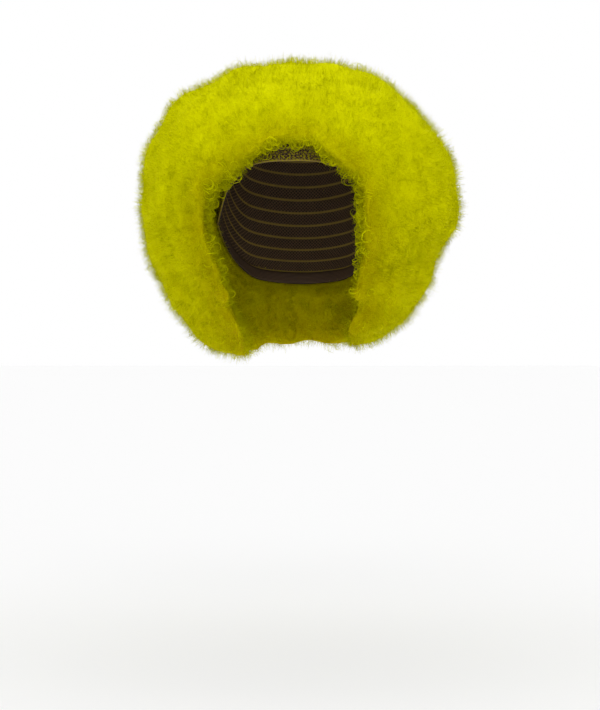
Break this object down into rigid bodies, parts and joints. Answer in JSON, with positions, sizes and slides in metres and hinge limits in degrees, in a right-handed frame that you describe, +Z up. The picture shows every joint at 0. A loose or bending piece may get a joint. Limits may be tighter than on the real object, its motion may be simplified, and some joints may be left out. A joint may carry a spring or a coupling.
{
  "type": "afro wig",
  "caption": "Full round afro wig of tight bright yellow curls on a dark net cap, with a fringe, side and back hair down to the neck, an open face and a hollow for the head.",
  "frame": {"origin": "where the top of the wearer's head meets the inside of the cap", "axes": "+Z up from the head, -Y the way the wearer faces, +X towards the wearer's left"},
  "size_m": [0.3108, 0.2934, 0.2885],
  "materials": {
    "netting": "matte openwork net",
    "elastic": "matte woven elastic",
    "yellow_fibre": "frizzed synthetic fibre with a soft sheen"
  },
  "bodies": {
    "root": {"net_cap": "netting", "edge_band": "elastic", "crown_hair": "yellow_fibre", "fringe": "yellow_fibre", "left_side_hair": "yellow_fibre", "right_side_hair": "yellow_fibre", "back_hair": "yellow_fibre"}
  },
  "joints": []
}
